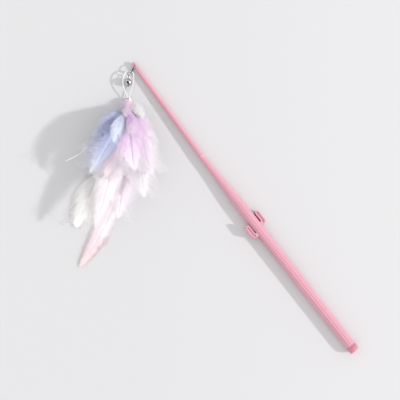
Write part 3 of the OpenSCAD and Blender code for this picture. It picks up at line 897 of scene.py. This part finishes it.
def low_lamp(look):
    """The lamp that stands low on one side and throws the long shadows."""
    lamp = bpy.data.lights.new("low_lamp", "SUN")
    lamp.energy = look.sun
    lamp.angle = LAMP_ANGLE
    lamp.color = (1, 0.995, 0.985)
    rays = math.cos(LAMP_RISE) * SHADOW_DIRECTION - Vector((0, 0, math.sin(LAMP_RISE)))
    link_object("low_lamp", lamp).rotation_euler = rays.to_track_quat("-Z", "Y").to_euler()


def soft_room(look):
    """Even light from all round, with a room of bright and dark bands for metal to mirror."""
    world = bpy.data.worlds.new("soft_room")
    world.use_nodes = True
    tree = world.node_tree
    background = tree.nodes["Background"]
    background.inputs["Strength"].default_value = look.ambient
    parts = add_node(tree, "ShaderNodeSeparateXYZ")
    heading = add_node(tree, "ShaderNodeTexCoord").outputs["Generated"]
    tree.links.new(heading, parts.inputs["Vector"])
    bands = [(position, (level, level, level, 1)) for position, level in ROOM_LEVELS]
    room = banded(tree, parts.outputs["Z"], bands)
    mirrored = add_node(tree, "ShaderNodeLightPath").outputs["Is Glossy Ray"]
    tree.links.new(tint(tree, mirrored, WHITE, room), background.inputs["Color"])
    return world


class CATWAND_OT_camera(bpy.types.Operator):
    """Look straight down on the wand, with its tip at the upper left"""

    bl_idname = "catwand.camera"
    bl_label = "Camera"

    def execute(self, context):
        height = context.scene.studio_stage.height
        data = bpy.data.cameras.new("camera")
        data.sensor_width = 36
        data.lens = data.sensor_width * height / (FRAME_PIXELS * METRES_PER_PIXEL)
        data.clip_start = 0.05
        data.clip_end = 50
        camera = link_object("camera", data)
        right = Vector((-HANDLE_RIGHT, -HANDLE_DOWN, 0))
        up = Vector((HANDLE_DOWN, -HANDLE_RIGHT, 0))
        turn = Matrix((right, up, Vector((0, 0, 1)))).transposed().to_4x4()
        camera.matrix_world = Matrix.Translation(VIEW_MIDDLE + Vector((0, 0, height))) @ turn
        context.scene.camera = camera
        return {"FINISHED"}


class CATWAND_OT_cord(bpy.types.Operator):
    """Lay the twisted cord through the link, with both ends in the ferrule"""

    bl_idname = "catwand.cord"
    bl_label = "Cord loop"

    def execute(self, context):
        yarn = context.scene.cord_yarn
        corners = [in_loop(x * MM, y * MM) for x, y in CORD_ROUTE]
        points = smooth_route(corners, 5)
        mesh = twisted_cord("cord", points, yarn)
        mesh.materials.append(cord_yarn_material(yarn))
        piece = link_object("cord", mesh)
        place(piece, "toy", "white_cord", "cord_loop")
        return {"FINISHED"}


class CATWAND_OT_handle(bpy.types.Operator):
    """Finish the handle, its hooks, the end cap and the rod in satin plastic"""

    bl_idname = "catwand.handle"
    bl_label = "Handle and rod"

    def execute(self, context):
        look = context.scene.wand_plastic
        body = moulded_plastic("pink_moulding", tuple(look.body))
        cap = moulded_plastic("cap_moulding", tuple(look.cap))
        for node, name, edge, plastic, slot in (
            ("grip", "fluted_grip", 0, body, "pink_plastic"),
            ("left_hook", "left_hook_moulding", look.edge, body, "pink_plastic"),
            ("right_hook", "right_hook_moulding", look.edge, body, "pink_plastic"),
            ("rod", "tapered_rod", 0, body, "pink_plastic"),
            ("end_cap", "smooth_end_cap", 0, cap, "cap_plastic"),
        ):
            finished_copy(node, name, edge, plastic, "wand", slot)
        return {"FINISHED"}


class CATWAND_OT_metal(bpy.types.Operator):
    """Finish the link, the bell, its pea and the ferrule in bright metal"""

    bl_idname = "catwand.metal"
    bl_label = "Link, bell and ferrule"

    def execute(self, context):
        look = context.scene.bell_metal
        plated = plated_steel("bright_plating", tuple(look.plated), look.roughness)
        dull = plated_steel("dull_steel", darker(look.plated, 0.5), look.roughness + 0.25)
        # The link's wire is painted at under half the plating's brightness
        wire = plated_steel("dark_wire", darker(look.plated, 0.45), look.roughness)
        for node, name, edge, metal, body, slot in (
            ("oval_link", "wire_link", 0, wire, "link", "steel_wire"),
            ("bell_upper_shell", "bell_top", look.edge, plated, "bell", "bell_metal"),
            ("bell_lower_shell", "bell_bottom", look.edge, plated, "bell", "bell_metal"),
            ("bell_shank", "bell_wire_shank", 0, plated, "bell", "steel_wire"),
            ("bell_ring", "bell_jump_ring", 0, plated, "bell", "steel_wire"),
            ("bell_pea", "loose_pea", 0, dull, "pea", "pea_steel"),
            ("ferrule", "crimped_ferrule", look.edge, plated, "toy", "ferrule_metal"),
        ):
            finished_copy(node, name, edge, metal, body, slot)
        return {"FINISHED"}


class CATWAND_OT_feathers(bpy.types.Operator):
    """Make the dyed feathers, each with its quill, barbs and down"""

    bl_idname = "catwand.feathers"
    bl_label = "Feathers"

    def execute(self, context):
        for feather in FEATHERS:
            feather_piece(feather, context.scene.feather_bunch)
        return {"FINISHED"}


class CATWAND_OT_down(bpy.types.Operator):
    """Make the downy tufts round the root of the bunch, and the glue in the ferrule"""

    bl_idname = "catwand.down"
    bl_label = "Downy tufts"

    def execute(self, context):
        for tuft in TUFTS:
            tuft_piece(tuft, context.scene.feather_bunch)
        glue = frame["nodes"]["glue_plug"].data
        glue.materials.clear()
        glue.materials.append(cured_glue())
        return {"FINISHED"}


class CATWAND_OT_stage(bpy.types.Operator):
    """Lay the pale floor and light the wand from low on one side"""

    bl_idname = "catwand.stage"
    bl_label = "Floor and light"

    def execute(self, context):
        look = context.scene.studio_stage
        pale_floor(look)
        low_lamp(look)
        context.scene.world = soft_room(look)
        context.scene.view_settings.view_transform = "Standard"
        return {"FINISHED"}


class CATWAND_PT_panel(bpy.types.Panel):
    """Every part of the wand, in the order in which it is made"""

    bl_idname = "CATWAND_PT_panel"
    bl_label = "Cat teaser wand"
    bl_space_type = "VIEW_3D"
    bl_region_type = "UI"
    bl_category = "Wand"

    def draw(self, context):
        for operator in OPERATORS:
            self.layout.operator(operator.bl_idname)
        for group in SETTINGS:
            self.layout.label(text=group.__doc__)
            settings = getattr(context.scene, SETTINGS[group])
            for key in group.__annotations__:
                self.layout.prop(settings, key)


SETTINGS = {
    WandPlastic: "wand_plastic",
    BellMetal: "bell_metal",
    CordYarn: "cord_yarn",
    FeatherBunch: "feather_bunch",
    StudioStage: "studio_stage",
}
OPERATORS = (
    CATWAND_OT_camera,
    CATWAND_OT_cord,
    CATWAND_OT_handle,
    CATWAND_OT_metal,
    CATWAND_OT_feathers,
    CATWAND_OT_down,
    CATWAND_OT_stage,
)


def register():
    """Adds the settings, the operators and the panel."""
    for group, name in SETTINGS.items():
        bpy.utils.register_class(group)
        setattr(bpy.types.Scene, name, bpy.props.PointerProperty(type=group))
    for operator in OPERATORS:
        bpy.utils.register_class(operator)
    bpy.utils.register_class(CATWAND_PT_panel)


def unregister():
    """Removes the panel, the operators and the settings."""
    bpy.utils.unregister_class(CATWAND_PT_panel)
    for operator in reversed(OPERATORS):
        bpy.utils.unregister_class(operator)
    for group, name in SETTINGS.items():
        delattr(bpy.types.Scene, name)
        bpy.utils.unregister_class(group)


def main():
    """Makes the whole wand and its stage."""
    register()
    for operator in OPERATORS:
        prefix, name = operator.bl_idname.split(".")
        getattr(getattr(bpy.ops, prefix), name)()


if __name__ == "__main__":
    main()
